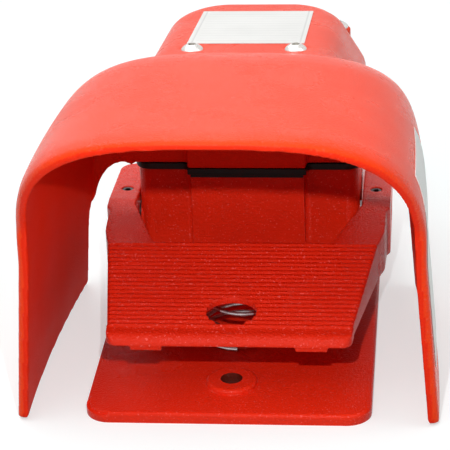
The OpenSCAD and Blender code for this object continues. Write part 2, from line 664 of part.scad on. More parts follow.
module treadle() color([0.75, 0.1, 0.05]) {
  pitch = (deck_back_y - ridge_front_y) / ridges;
  difference() {
    union() {
      intersection() {
        linear_extrude(60) treadle_plan(0);
        along_x(-arm_out_x, arm_out_x) polygon(concat(top_line(0),
          [[heel_y, pad_z(heel_y) - deck_t], [crease_y, deck_z(crease_y) - deck_t],
            [nose_y + 6, deck_z(nose_y + 6) - deck_t], [nose_y + 1, deck_z(nose_y) - nose_drop - 0.4]]));
      }
      intersection() {
        linear_extrude(60) difference() {
          treadle_plan(0);
          treadle_plan(skirt_t);
        }
        along_x(-arm_out_x, arm_out_x) polygon([
          [nose_y + 6, deck_z(nose_y + 6) - 2], [crease_y, deck_z(crease_y) - 2], [heel_y, pad_z(heel_y) - 2],
          [heel_y, pad_z(heel_y) - 6], [pivot_y + 9, skirt_low_z], [pivot_y - 24, skirt_low_z],
          [nose_y + 9, deck_z(nose_y + 9) - deck_t - 0.3]]);
      }
      intersection() {
        linear_extrude(60) treadle_plan(0.8);
        along_x(-arm_out_x, arm_out_x) for (i = [0:ridges - 1]) let (y = ridge_front_y + pitch * i)
          polygon([[y + 0.3, deck_z(y) - 1], [y + 0.3, deck_z(y) + 0.05], [y + pitch * 0.4, deck_z(y) + ridge_h],
            [y + pitch * 0.65, deck_z(y) + ridge_h], [y + pitch - 0.3, deck_z(y + pitch)],
            [y + pitch - 0.3, deck_z(y) - 1]]);
      }
      for (s = [-1, 1]) {
        x0 = s > 0 ? arm_in_x : -arm_out_x;
        rod_x(x0, x0 + arm_out_x - arm_in_x, pivot_y, pivot_z, 2 * (pad_z(pivot_y) - pivot_z) - 1);
        translate([x0 + 1, pivot_y - 8, pivot_z])
          cube([arm_out_x - arm_in_x - 2, 16, pad_z(pivot_y + 8) - pivot_z - 1]);
        translate([s * stop_spacing / 2 - stop_w / 2, nose_y + 0.4, deck_z(nose_y) - nose_drop - stop_h])
          cube([stop_w, 7, stop_h - 0.2]);
      }
      translate([0, spring_y, deck_z(spring_y) - deck_t - 1.5]) cylinder(d = spring_top_d + 6, h = 3.5);
    }
    translate([0, front_y + deck_hole_setback, 0]) cylinder(d = deck_hole_d, h = 60);
    rod_x(-arm_out_x - 1, arm_out_x + 1, pivot_y, pivot_z, shaft_d + 2 * fit);
    for (s = [-1, 1])
      translate([s * set_screw_x, pivot_y, pivot_z]) cylinder(d = set_screw_d + 2 * fit, h = 20);
  }
}

module pivot_shaft() color([0.6, 0.6, 0.62]) {
  rod_x(-arm_out_x + 0.6, arm_out_x - 0.6, pivot_y, pivot_z, shaft_d);
}

module shaft_bushes() color([0.72, 0.55, 0.3]) {
  for (s = [-1, 1])
    translate([s > 0 ? wall_x - seal_section - 0.6 - bush_l : -wall_x + seal_section + 0.6, pivot_y, pivot_z])
      rotate([0, 90, 0]) ring(bush_d, shaft_d + 2 * shaft_clear, bush_l);
}

module shaft_seals() color([0.05, 0.05, 0.05]) {
  for (s = [-1, 1])
    translate([s > 0 ? wall_x - seal_section - 0.6 : -wall_x + 0.6, pivot_y, pivot_z])
      rotate([0, 90, 0]) ring(shaft_d + 4 * seal_section - 2 * fit, shaft_d + 2 * shaft_clear, seal_section);
}

// Socket set screw, top at z = 0
module grub_screw(d, l) {
  translate([0, 0, -l]) difference() {
    cylinder(d = d, h = l);
    translate([0, 0, l - 2.2]) cylinder(d = d * 0.5 / cos(30), h = 3, $fn = 6);
  }
}

module shaft_set_screws() color([0.2, 0.2, 0.21]) {
  top = pad_z(pivot_y) - 0.6;
  for (s = [-1, 1])
    translate([s * set_screw_x, pivot_y, top]) grub_screw(set_screw_d, top - pivot_z - shaft_d / 2 - fit);
}

// ---- actuator inside the housing -------------------------------------------

hub_d = 20;
arm_w = 13;
arm_t = 8;
striker_y = pivot_y + striker_arm;
arm_top_z = pivot_z + arm_t / 2;
striker_top_z = arm_top_z + 8;

module actuator_arm() color([0.5, 0.5, 0.52]) {
  difference() {
    union() {
      rod_x(-arm_w / 2, arm_w / 2, pivot_y, pivot_z, hub_d);
      translate([-arm_w / 2, pivot_y, arm_top_z - arm_t]) cube([arm_w, striker_arm, arm_t]);
      translate([0, striker_y, arm_top_z - arm_t]) cylinder(d = arm_w, h = arm_t);
    }
    rod_x(-arm_w, arm_w, pivot_y, pivot_z, shaft_d + 2 * fit);
    translate([0, pivot_y, pivot_z]) cylinder(d = set_screw_d + 2 * fit, h = hub_d);
    translate([0, striker_y, 0]) cylinder(d = set_screw_d + 2 * fit, h = 60);
  }
}

module actuator_clamp_screw() color([0.2, 0.2, 0.21]) {
  tip = pivot_z + shaft_d / 2 + fit;
  translate([0, pivot_y, pivot_z + hub_d / 2 - 0.5]) grub_screw(set_screw_d, pivot_z + hub_d / 2 - 0.5 - tip);
}

module striker_screw() color([0.6, 0.6, 0.62]) {
  translate([0, striker_y, arm_top_z - arm_t - 3]) cylinder(d = set_screw_d, h = arm_t + 9);
  translate([0, striker_y, striker_top_z - 3]) cylinder(d = 8 / cos(30), h = 3, $fn = 6);
}

module striker_nut() color([0.6, 0.6, 0.62]) {
  translate([0, striker_y, arm_top_z]) difference() {
    cylinder(d = 8 / cos(30), h = 4, $fn = 6);
    translate([0, 0, -1]) cylinder(d = set_screw_d + 2 * fit, h = 6);
  }
}

// Conical left-hand spring: wire section swept along a helix that narrows as it climbs
module return_spring() color([0.7, 0.7, 0.72]) {
  z0 = base_t + spring_wire_d / 2 + 0.02;
  z1 = deck_z(spring_y) - deck_t - 1.5 - spring_wire_d / 2 - 0.05;
  n = 24;
  sides = 10;
  turns = spring_coils + 2;
  steps = round(turns * n);
  dead = spring_wire_d + 0.1;
  climb = function (t) t < n ? dead * t / n : t > steps - n ? z1 - z0 - dead * (steps - t) / n
    : lerp(dead, z1 - z0 - dead, (t - n) / (steps - 2 * n));
  coil_r = function (t) lerp(spring_low_d, spring_top_d, max(0, min(1, (t - n) / (steps - 2 * n)))) / 2;
  points = [for (t = [0:steps]) for (k = [0:sides - 1]) let (
      a = 360 * t / n - 90, b = 360 * k / sides, r = coil_r(t) + spring_wire_d / 2 * cos(b))
    [-r * cos(a), spring_y + r * sin(a), z0 + climb(t) + spring_wire_d / 2 * sin(b)]];
  polyhedron(points, concat(
    [[for (k = [sides - 1:-1:0]) k]],
    grid_faces(steps + 1, sides, true),
    [[for (k = [0:sides - 1]) steps * sides + k]]), convexity = 10);
}

// ---- switch ----------------------------------------------------------------

case_y0 = switch_y - 16;
case_screw_y = [case_y0 + 9, case_y0 + switch_l - 9];
case_screw_z = switch_z + switch_h - 6;
terminal_y = [for (i = [-1:1]) case_y0 + switch_l / 2 + 8.5 * i];
small_d = 4;
foot_z = base_t + 3;
plunger_rise = striker_arm * sin(travel);

module switch_bracket() color([0.62, 0.62, 0.64]) {
  difference() {
    union() {
      translate([plate_x, switch_y - 15, foot_z]) cube([plate_t, 45, switch_z + switch_h - foot_z]);
      translate([plate_x, switch_y - 15, foot_z]) cube([foot_w, 45, plate_t]);
    }
    for (y = foot_y)
      translate([plate_x + foot_w / 2, y, foot_z - 1]) cylinder(d = small_d + 2 * free, h = plate_t + 2);
    for (y = case_screw_y)
      rod_x(plate_x - 1, plate_x + plate_t + 1, y, case_screw_z, small_d + 2 * fit);
  }
}

module bracket_screws() color([0.6, 0.6, 0.62]) {
  for (y = foot_y)
    translate([plate_x + foot_w / 2, y, foot_z + plate_t]) socket_screw(small_d, 8, 7, 2.4, 2.5);
}

module switch_case() color([0.09, 0.09, 0.1]) {
  difference() {
    union() {
      translate([-switch_w / 2, case_y0, switch_z]) cube([switch_w, switch_l, switch_h]);
      translate([0, switch_y, switch_z - 6]) cylinder(d = 2 * plunger_d + 1, h = 6 + eps);
    }
    translate([0, switch_y, switch_z - 7]) cylinder(d = plunger_d + 2 * shaft_clear, h = 15.6 + plunger_rise);
    for (y = case_screw_y)
      rod_x(-switch_w, switch_w, y, case_screw_z, small_d + 2 * free);
    for (y = terminal_y)
      translate([0, y, switch_z + switch_h - 8]) cylinder(d = 3 + 2 * fit, h = 10);
  }
}

module switch_plunger() color([0.7, 0.7, 0.72]) {
  translate([0, switch_y, striker_top_z + plunger_gap])
    cylinder(d = plunger_d, h = switch_z + 8 - striker_top_z - plunger_gap);
}

module switch_mounting_screws() color([0.6, 0.6, 0.62]) {
  for (y = case_screw_y)
    translate([-switch_w / 2, y, case_screw_z]) rotate([0, -90, 0])
      socket_screw(small_d, switch_w + plate_t + 1, 7, 2.4, 2.5);
}

module switch_terminals() color([0.8, 0.65, 0.35]) {
  for (y = terminal_y)
    translate([0, y, switch_z + switch_h]) difference() {
      translate([-6, -3.5, 0]) cube([12, 7, 1.5]);
      translate([0, 0, -1]) cylinder(d = 3 + 2 * free, h = 4);
    }
}

module terminal_screws() color([0.6, 0.6, 0.62]) {
  for (y = terminal_y)
    translate([0, y, switch_z + switch_h + 1.5]) socket_screw(3, 7, 6, 2, 2);
}

module ground_screw() color([0.1, 0.45, 0.2]) {
  translate([ground_x, ground_y, foot_z]) socket_screw(small_d, 5.5, 8.5, 2.8, 2.5);
}

base_casting();
cover_gasket();
cover_and_guard();
front_cover_screws();
rear_cover_screws();
cover_label();
guard_side_label();
treadle();
pivot_shaft();
shaft_bushes();
shaft_seals();
shaft_set_screws();
actuator_arm();
actuator_clamp_screw();
striker_screw();
striker_nut();
return_spring();
switch_bracket();
bracket_screws();
switch_case();
switch_plunger();
switch_mounting_screws();
switch_terminals();
terminal_screws();
ground_screw();
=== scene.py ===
import math

import bmesh
import bpy
import numpy as np
from mathutils import Matrix, Vector

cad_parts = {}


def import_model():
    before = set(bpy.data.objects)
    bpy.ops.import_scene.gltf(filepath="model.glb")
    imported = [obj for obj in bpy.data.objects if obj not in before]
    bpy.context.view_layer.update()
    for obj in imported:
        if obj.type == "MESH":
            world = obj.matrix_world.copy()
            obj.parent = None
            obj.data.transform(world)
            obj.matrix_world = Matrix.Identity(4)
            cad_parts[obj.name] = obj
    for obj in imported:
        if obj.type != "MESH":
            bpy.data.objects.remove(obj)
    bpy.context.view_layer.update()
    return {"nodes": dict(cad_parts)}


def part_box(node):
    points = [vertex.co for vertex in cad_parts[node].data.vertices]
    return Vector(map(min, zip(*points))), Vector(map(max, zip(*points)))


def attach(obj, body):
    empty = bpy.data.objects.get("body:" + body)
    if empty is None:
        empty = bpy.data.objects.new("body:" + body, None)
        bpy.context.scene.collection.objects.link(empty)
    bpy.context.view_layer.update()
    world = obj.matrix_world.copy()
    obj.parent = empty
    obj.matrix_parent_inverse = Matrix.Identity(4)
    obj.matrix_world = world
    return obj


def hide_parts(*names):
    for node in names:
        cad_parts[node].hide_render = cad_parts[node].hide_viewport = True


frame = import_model()
NODES = frame["nodes"]
MM = 0.001


# ---- small helpers ------------------------------------------------------------------------------

def corner_mm(name, side):
    """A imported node's lowest (side 0) or highest (side 1) corner at rest, in mm."""
    return tuple(round(c / MM, 3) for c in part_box(name)[side])


def new_object(name, points_mm, faces, smooth=True):
    mesh = bpy.data.meshes.new(name)
    mesh.from_pydata([tuple(c * MM for c in p) for p in points_mm], [], faces)
    mesh.validate()
    obj = bpy.data.objects.new(name, mesh)
    bpy.context.scene.collection.objects.link(obj)
    for polygon in mesh.polygons:
        polygon.use_smooth = smooth
    return obj


def face_outwards(obj):
    bm = bmesh.new()
    bm.from_mesh(obj.data)
    bmesh.ops.recalc_face_normals(bm, faces=bm.faces)
    bm.to_mesh(obj.data)
    bm.free()


# How an outline's two numbers and the sweep become x, y and z, by the outline's plane
LIFTS = {"xy": lambda a, b, c: (a, b, c),
         "xz": lambda a, b, c: (a, c, b),
         "yz": lambda a, b, c: (c, a, b)}


def prism(name, outline, lo, hi, plane):
    """Closed prism in mm: a flat outline, swept from lo to hi along the axis that its plane leaves out."""
    lift = LIFTS[plane]
    n = len(outline)
    points = [lift(a, b, c) for c in (lo, hi) for a, b in outline]
    ends = [list(range(n))[::-1], list(range(n, 2 * n))]
    sides = [[i, (i + 1) % n, n + (i + 1) % n, n + i] for i in range(n)]
    obj = new_object(name, points, ends + sides, smooth=False)
    face_outwards(obj)
    return obj


def arc(cx, cy, r, a0, a1, n):
    """n + 1 points on an arc from angle a0 to a1, in degrees."""
    turns = [math.radians(a0 + (a1 - a0) * i / n) for i in range(n + 1)]
    return [(cx + r * math.cos(a), cy + r * math.sin(a)) for a in turns]


def box_outline(a0, a1, b0, b1):
    return [(a0, b0), (a1, b0), (a1, b1), (a0, b1)]


def mirrored(side):
    """An outline's half on one side, and then the same points back along the other side of x = 0."""
    return side + [(-x, y) for x, y in side[::-1]]


def drum(name, x, y, z0, z1, r, n=64):
    return prism(name, arc(x, y, r, 0.0, 360.0 - 360.0 / n, n - 1), z0, z1, "xy")


def grid_quads(rows, cols, first=0, turned=False, closed=False):
    """Faces of a grid of points, row after row, that starts at point number first."""
    faces = []
    for i in range(rows - 1):
        here = first + i * cols
        for j in range(cols if closed else cols - 1):
            k = (j + 1) % cols
            q = [here + j, here + k, here + cols + k, here + cols + j]
            faces.append(q[::-1] if turned else q)
    return faces


def apply_modifiers(obj):
    deps = bpy.context.evaluated_depsgraph_get()
    mesh = bpy.data.meshes.new_from_object(obj.evaluated_get(deps))
    obj.modifiers.clear()
    old = obj.data
    obj.data = mesh
    bpy.data.meshes.remove(old)


def cut(obj, tool):
    """Take the tool's volume out of obj, and the tool out of the scene."""
    m = obj.modifiers.new("cut", "BOOLEAN")
    m.operation = "DIFFERENCE"
    m.object = tool
    m.solver = "EXACT"
    apply_modifiers(obj)
    bpy.data.objects.remove(tool, do_unlink=True)


def join(objs, name):
    points, faces = [], []
    for o in objs:
        first = len(points)
        points += [tuple(c / MM for c in v.co) for v in o.data.vertices]
        faces += [[first + i for i in p.vertices] for p in o.data.polygons]
        bpy.data.objects.remove(o, do_unlink=True)
    return new_object(name, points, faces)


def fuse(obj, voxel, passes):
    """Melt a piece's solids into one skin with soft cast edges. Voxel sizes are in mm."""
    m = obj.modifiers.new("fuse", "REMESH")
    m.mode = "VOXEL"
    m.voxel_size = voxel * MM
    m.use_smooth_shade = True
    m = obj.modifiers.new("cast_radii", "SMOOTH")
    m.factor = 0.5
    m.iterations = passes
    apply_modifiers(obj)
    for polygon in obj.data.polygons:
        polygon.use_smooth = True


# ---- camera -------------------------------------------------------------------------------------

CAMERA_PLACE = (0.08223, -0.7724, 0.44126)
CAMERA_YAW, CAMERA_PITCH, CAMERA_ROLL = 0.106333, 0.440686, -0.0395324
LENS = 176.0


def aim_camera():
    sy, cy = math.sin(CAMERA_YAW), math.cos(CAMERA_YAW)
    sp, cp = math.sin(CAMERA_PITCH), math.cos(CAMERA_PITCH)
    sr, cr = math.sin(CAMERA_ROLL), math.cos(CAMERA_ROLL)
    forward = Vector((-sy * cp, cy * cp, -sp))
    right = Vector((cy, sy, 0.0))
    up = right.cross(forward)
    turn = Matrix((right * cr + up * sr, right * -sr + up * cr, -forward)).transposed()
    data = bpy.data.cameras.new("camera")
    data.lens = LENS
    data.sensor_width = 36.0
    data.clip_end = 20.0
    cam = bpy.data.objects.new("camera", data)
    cam.matrix_world = Matrix.Translation(CAMERA_PLACE) @ turn.to_4x4()
    bpy.context.scene.collection.objects.link(cam)
    bpy.context.scene.camera = cam


aim_camera()


# ---- shader helpers -----------------------------------------------------------------------------

def node(tree, kind, feeds=None, **settings):
    """New shader node. Each of feeds gives a socket, by name or number, a link or a constant."""
    n = tree.nodes.new(kind)
    for key, value in settings.items():
        setattr(n, key, value)
    for socket, value in (feeds or {}).items():
        target = n.inputs[socket]
        if isinstance(value, bpy.types.NodeSocket):
            tree.links.new(value, target)
        else:
            target.default_value = value
    return n


def object_place(tree):
    return node(tree, "ShaderNodeTexCoord").outputs["Object"]


def noise(tree, where, scale, detail, rough):
    feeds = {"Vector": where, "Scale": scale, "Detail": detail, "Roughness": rough}
    return node(tree, "ShaderNodeTexNoise", feeds).outputs["Fac"]


def spread(tree, value, lo, hi, out_lo=0.0, out_hi=1.0):
    feeds = {"Value": value, "From Min": lo, "From Max": hi, "To Min": out_lo, "To Max": out_hi}
    return node(tree, "ShaderNodeMapRange", feeds).outputs["Result"]


def calculate(tree, operation, a, b=0.0):
    return node(tree, "ShaderNodeMath", {0: a, 1: b}, operation=operation).outputs[0]


def vector_math(tree, operation, a, b):
    return node(tree, "ShaderNodeVectorMath", {0: a, 1: b}, operation=operation).outputs


def mix_colour(tree, factor, a, b):
    return node(tree, "ShaderNodeMix", {0: factor, 6: a, 7: b}, data_type="RGBA").outputs[2]


def rgba(colour, gain=1.0, lift=0.0):
    return tuple(min(1.0, c * gain + lift) for c in colour) + (1.0,)


# ---- shared shader groups -----------------------------------------------------------------------

def group(name, inputs, outputs):
    """New node group. Inputs are labels with their defaults, and outputs are labels of plain values."""
    g = bpy.data.node_groups.new(name, "ShaderNodeTree")
    for label, default in inputs:
        kind = "NodeSocketVector" if isinstance(default, tuple) else "NodeSocketFloat"
        s = g.interface.new_socket(name=label, in_out="INPUT", socket_type=kind)
        s.default_value = default
    for label in outputs:
        g.interface.new_socket(name=label, in_out="OUTPUT", socket_type="NodeSocketFloat")
    return g, g.nodes.new("NodeGroupInput").outputs, g.nodes.new("NodeGroupOutput").inputs


def build_cast_grain():
    """Height of the orange peel and sand grain that show through paint on a casting, with two masks."""
    g, given, made = group("cast_grain",
                           [("Peel Scale", 380.0), ("Grain Scale", 1500.0), ("Grain Share", 0.35)],
                           ["Height", "Speckle", "Blotch"])
    where = object_place(g)
    peel = noise(g, where, given["Peel Scale"], 2.0, 0.45)
    grain = noise(g, where, given["Grain Scale"], 3.0, 0.6)
    share = calculate(g, "MULTIPLY", grain, given["Grain Share"])
    g.links.new(calculate(g, "ADD", peel, share), made["Height"])
    # Speckle: sparse specks; the enamel paints highlights on them, and dull uses them for roughness
    g.links.new(spread(g, noise(g, where, 1100.0, 1.0, 0.4), 0.66, 0.72), made["Speckle"])
    g.links.new(spread(g, noise(g, where, 28.0, 4.0, 0.55), 0.35, 0.7), made["Blotch"])
    return g


def build_edge_wear():
    """Mask of outer edges, and the same broken up so that wear looks rubbed and not drawn."""
    g, given, made = group("edge_wear",
                           [("Radius", 0.001), ("Low", 0.02), ("High", 0.12), ("Break Scale", 220.0)],
                           ["Edge", "Worn"])
    rounded = node(g, "ShaderNodeBevel", {"Radius": given["Radius"]}, samples=4).outputs[0]
    normal = node(g, "ShaderNodeNewGeometry").outputs["Normal"]
    agreement = vector_math(g, "DOT_PRODUCT", rounded, normal)["Value"]
    edge = spread(g, calculate(g, "SUBTRACT", 1.0, agreement), given["Low"], given["High"])
    g.links.new(edge, made["Edge"])
    broken = spread(g, noise(g, object_place(g), given["Break Scale"], 4.0, 0.65), 0.48, 0.6)
    g.links.new(calculate(g, "MULTIPLY", edge, broken), made["Worn"])
    return g


def build_brushed():
    """Fine turned or drawn lines on bare metal, squeezed by Along, and the roughness they give."""
    g, given, made = group("brushed_metal", [("Line Scale", 900.0), ("Along", (1.0, 1.0, 12.0))],
                           ["Height", "Rough"])
    squeezed = vector_math(g, "MULTIPLY", object_place(g), given["Along"])[0]
    lines = noise(g, squeezed, given["Line Scale"], 4.0, 0.6)
    g.links.new(lines, made["Height"])
    g.links.new(spread(g, lines, 0.3, 0.7, 0.2, 0.42), made["Rough"])
    return g


CAST_GRAIN = build_cast_grain()
EDGE_WEAR = build_edge_wear()
BRUSHED = build_brushed()


def use(tree, shared, **values):
    """Place a shared group and return its outputs. An underscore stands for a space in a socket's name."""
    n = tree.nodes.new("ShaderNodeGroup")
    n.node_tree = shared
    for key, value in values.items():
        n.inputs[key.replace("_", " ")].default_value = value
    return n.outputs


def blank_material(name):
    m = bpy.data.materials.new(name)
    m.use_nodes = True
    tree = m.node_tree
    tree.nodes.clear()
    shader = tree.nodes.new("ShaderNodeBsdfPrincipled")
    out = tree.nodes.new("ShaderNodeOutputMaterial")
    tree.links.new(shader.outputs[0], out.inputs["Surface"])
    return m, tree, shader.inputs


def bump(tree, shader, height, strength, distance):
    feeds = {"Height": height, "Strength": strength, "Distance": distance}
    tree.links.new(node(tree, "ShaderNodeBump", feeds).outputs[0], shader["Normal"])


# ---- materials ----------------------------------------------------------------------------------

PAINTED_SHADE_TINT = (0.94, 0.5, 0.6)      # painted shade: deepens the paint on the guard's inner faces and is added to the paint's roughness there
SHELTERED_ROUGH = 0.35                 # and is added to its roughness there
RUBBED_PAINT = (0.6, 0.22, 0.16)
# painted shade: the dark red that the wall of the base plate's hole gets
BORE_SHADE_COLOUR = (0.12, 0.012, 0.006)
FINE_BUMP = 0.0001                     # metres


def bore_mask(tree, radius):
    """1 within radius of the Z axis, in metres."""
    place = node(tree, "ShaderNodeSeparateXYZ", {0: object_place(tree)}).outputs
    squares = [calculate(tree, "MULTIPLY", place[axis], place[axis]) for axis in ("X", "Y")]
    return calculate(tree, "LESS_THAN", calculate(tree, "ADD", *squares), radius * radius)


def enamel(name, colour, deep, rough, gloss, peel, share, strength, painted_sparkle, depth=0.0003, wear=0.3,
           bore=0.0):
    """Orange-red enamel over a sand casting: blotches from deep to colour, orange peel, painted
    highlights on lighter grain specks, and rubbed edges. The mesh attribute "inside" marks the guard's
    inner faces, which get painted shade and more roughness, and bore is the radius in metres of a hole
    on the Z axis whose wall gets painted shade."""
    m, t, shader = blank_material(name)
    grain = use(t, CAST_GRAIN, Peel_Scale=peel, Grain_Share=share)
    edge = use(t, EDGE_WEAR)
    inside = node(t, "ShaderNodeAttribute", attribute_name="inside").outputs["Fac"]
    shaded_inside = [c * tint for c, tint in zip(deep, PAINTED_SHADE_TINT)]
    # painted highlight: sparse grain specks, mixed lighter into the colour below
    painted_glint = calculate(t, "MULTIPLY", grain["Speckle"], painted_sparkle)
    rubbed = calculate(t, "MULTIPLY", edge["Worn"], wear)
    base = mix_colour(t, grain["Blotch"], rgba(deep), rgba(colour))
    # painted shade: a deeper copy of the paint on the guard's inner faces
    base = mix_colour(t, inside, base, rgba(shaded_inside))
    # painted highlight on the specks
    base = mix_colour(t, painted_glint, base, rgba(colour, 1.1, 0.16))
    base = mix_colour(t, rubbed, base, rgba(RUBBED_PAINT))
    # painted shade on the wall of the hole
    t.links.new(mix_colour(t, bore_mask(t, bore), base, rgba(BORE_SHADE_COLOUR)), shader["Base Color"])
    satin = spread(t, grain["Blotch"], 0.0, 1.0, rough + 0.06, rough - 0.04)
    dulled = calculate(t, "ADD", satin, calculate(t, "MULTIPLY", inside, SHELTERED_ROUGH))
    t.links.new(dulled, shader["Roughness"])
    shader["Specular IOR Level"].default_value = gloss
    bump(t, shader, grain["Height"], strength, depth)
    return m


def metal(name, colour, along=(1.0, 1.0, 12.0), strength=0.12):
    """Bare or plated metal with fine lines and brighter edges."""
    m, t, shader = blank_material(name)
    lines = use(t, BRUSHED, Along=along)
    edge = use(t, EDGE_WEAR, Radius=0.0006)
    base = mix_colour(t, spread(t, lines["Height"], 0.35, 0.65), rgba(colour, 0.72), rgba(colour))
    bright = calculate(t, "MULTIPLY", edge["Edge"], 0.5)
    t.links.new(mix_colour(t, bright, base, rgba(colour, 1.3)), shader["Base Color"])
    shader["Metallic"].default_value = 1.0
    t.links.new(lines["Rough"], shader["Roughness"])
    bump(t, shader, lines["Height"], strength, FINE_BUMP)
    return m


def dull(name, colour, rough, scale=700.0, strength=0.25, gloss=0.4):
    """Rubber, moulding or dark coating: faint mottling, a fine texture and paler rubbed edges."""
    m, t, shader = blank_material(name)
    grain = use(t, CAST_GRAIN, Peel_Scale=scale, Grain_Share=0.6)
    edge = use(t, EDGE_WEAR, Radius=0.0005)
    base = mix_colour(t, grain["Blotch"], rgba(colour, 0.8), rgba(colour))
    rubbed = calculate(t, "MULTIPLY", edge["Worn"], 0.3)
    t.links.new(mix_colour(t, rubbed, base, rgba(colour, 1.5, 0.03)), shader["Base Color"])
    satin = spread(t, grain["Speckle"], 0.0, 1.0, rough, max(0.1, rough - 0.12))
    t.links.new(satin, shader["Roughness"])
    shader["Specular IOR Level"].default_value = gloss
    bump(t, shader, grain["Height"], strength, FINE_BUMP)
    return m


ROW_PITCH = 5.2                          # mm between a label's empty rows
ROW_INK = 0.09                           # share of the pitch that a row's line takes
ROW_HALF = 0.43                          # half length of that line, as a share of the label's width
BORDER_IN, BORDER_OUT = 0.455, 0.47      # the side lines, as shares of the width
INK_STRENGTH = 0.38


def label_film(name, width, across_axis, x0, y0):
    """Bare film with faint empty rows between side lines, where a real one carries lettering. A row
    runs along across_axis, centred on x0, and rows follow each other along Y from y0, in metres."""
    m, t, shader = blank_material(name)
    place = node(t, "ShaderNodeSeparateXYZ", {0: object_place(t)}).outputs
    down = calculate(t, "SUBTRACT", place["Y"], y0)
    row = calculate(t, "FRACT", calculate(t, "MULTIPLY", down, 1.0 / (ROW_PITCH * MM)))
    off = calculate(t, "ABSOLUTE", calculate(t, "SUBTRACT", place[across_axis], x0))
    lines = calculate(t, "MULTIPLY", calculate(t, "LESS_THAN", row, ROW_INK),
                      calculate(t, "LESS_THAN", off, width * ROW_HALF))
    border = calculate(t, "MULTIPLY", calculate(t, "LESS_THAN", off, width * BORDER_OUT),
                       calculate(t, "GREATER_THAN", off, width * BORDER_IN))
    ink = calculate(t, "MULTIPLY", calculate(t, "MAXIMUM", lines, border), INK_STRENGTH)
    grain = use(t, CAST_GRAIN, Peel_Scale=500.0)
    film = mix_colour(t, grain["Blotch"], rgba((0.69, 0.69, 0.67)), rgba((0.76, 0.76, 0.74)))
    t.links.new(mix_colour(t, ink, film, rgba((0.35, 0.34, 0.34))), shader["Base Color"])
    shader["Roughness"].default_value = 0.42
    bump(t, shader, grain["Height"], 0.08, FINE_BUMP)
    return m


GUARD_PAINT = enamel("guard_enamel", (0.88, 0.05, 0.006), (0.83, 0.043, 0.005), 0.26, 0.1,
                     peel=1100.0, share=0.7, strength=0.8, painted_sparkle=0.1, wear=0.12)
# painted shade: the base's and treadle's paints are a deeper red than the guard's, standing for the same
# paint in the guard's shade
SHADED_BASE_PAINT = enamel("base_enamel_shaded", (0.84, 0.028, 0.007), (0.77, 0.023, 0.006), 0.27, 0.12,
                    peel=900.0, share=0.9, strength=1.0, painted_sparkle=0.4, bore=0.00445)
SHADED_TREADLE_PAINT = enamel("treadle_enamel_shaded", (0.86, 0.03, 0.008), (0.78, 0.024, 0.006), 0.25, 0.15,
                       peel=1000.0, share=1.0, strength=1.0, painted_sparkle=0.6, depth=0.0004)
STAINLESS = metal("screw_stainless", (0.78, 0.76, 0.73))
STEEL = metal("ground_steel", (0.62, 0.62, 0.63), along=(1.0, 12.0, 12.0))
BRONZE = metal("bush_bronze", (0.66, 0.46, 0.22))
BRASS = metal("terminal_brass", (0.8, 0.62, 0.3))
ZINC = metal("zinc_plate", (0.7, 0.71, 0.74), along=(1.0, 2.0, 2.0), strength=0.06)
BARE_CASTING = metal("bare_casting", (0.36, 0.36, 0.37), along=(1.0, 1.0, 1.0), strength=0.5)
RUBBER = dull("gasket_rubber", (0.012, 0.012, 0.012), 0.62, strength=0.15, gloss=0.25)
BLACK_OXIDE = dull("black_oxide", (0.02, 0.02, 0.02), 0.35, scale=1400.0, strength=0.1, gloss=0.6)
PHENOLIC = dull("switch_moulding", (0.025, 0.025, 0.03), 0.3, strength=0.1)
GREEN = dull("ground_green", (0.04, 0.3, 0.1), 0.4)
COVER_FILM = label_film("cover_label_film", 0.0505, "X", 0.0, 0.1095)
SIDE_FILM = label_film("side_label_film", 0.07, "Z", 0.06, -0.0195)


# ---- cover and guard: one casting, built densely and fused. Shapes are in mm from here on --------

FRONT = corner_mm("base_casting", 0)[1]         # front edge of the base plate
FOOT_Z = corner_mm("cover_and_guard", 0)[2]     # underside of the guard's legs
COVER_BACK = corner_mm("cover_and_guard", 1)[1]
COVER_Z = corner_mm("cover_gasket", 1)[2]       # underside of the cover, on its gasket
CLEAR_Z = -2.0                                  # where cutters start, below the feet
GUARD_T = 4.4                                   # wall of the guard
CORNER = FRONT + 127.0                          # where the cover runs into the guard's rear wall
REAR_WALL = CORNER - 1.2 + GUARD_T              # back face of that wall
SPRING_Z = 69.0                                 # where the guard's legs end and its arch begins
SQUARENESS = 3.17                               # power of the arch: 2 is round, and more is squarer
LEG_SPLAY = 0.076                               # by which a leg leans outwards on its way down
CROWN_Y, CROWN_Z, CROWN_SLOPE = FRONT + 118.0, 119.0, 0.111
SAG_Y, SAG_L, SAG = FRONT + 74.0, 44.0, 8.2     # the roof's fall towards the cover
BROW_Z, BROW_REACH, BROW_CURVE = 84.0, 32.0, 1.18


def crown_z(y):
    """Height of the roof on the centre line."""
    return CROWN_Z + CROWN_SLOPE * (CROWN_Y - y) - SAG * (max(0.0, y - SAG_Y) / SAG_L) ** 2


def leg_x(y):
    """Half width of the guard where its legs end."""
    d = (y - FRONT) / 100.0
    return 78.4 + 2.0 * d - 6.1 * d * d


LEG_SHARE = 0.3      # of the way q from a foot (0) to the crown (1)
LEG_ROWS, ARCH_ROWS = 10, 54
QS = [LEG_SHARE * i / LEG_ROWS for i in range(LEG_ROWS)]
QS += [LEG_SHARE + (1.0 - LEG_SHARE) * i / ARCH_ROWS for i in range(ARCH_ROWS + 1)]
COLS = 2 * len(QS) - 1


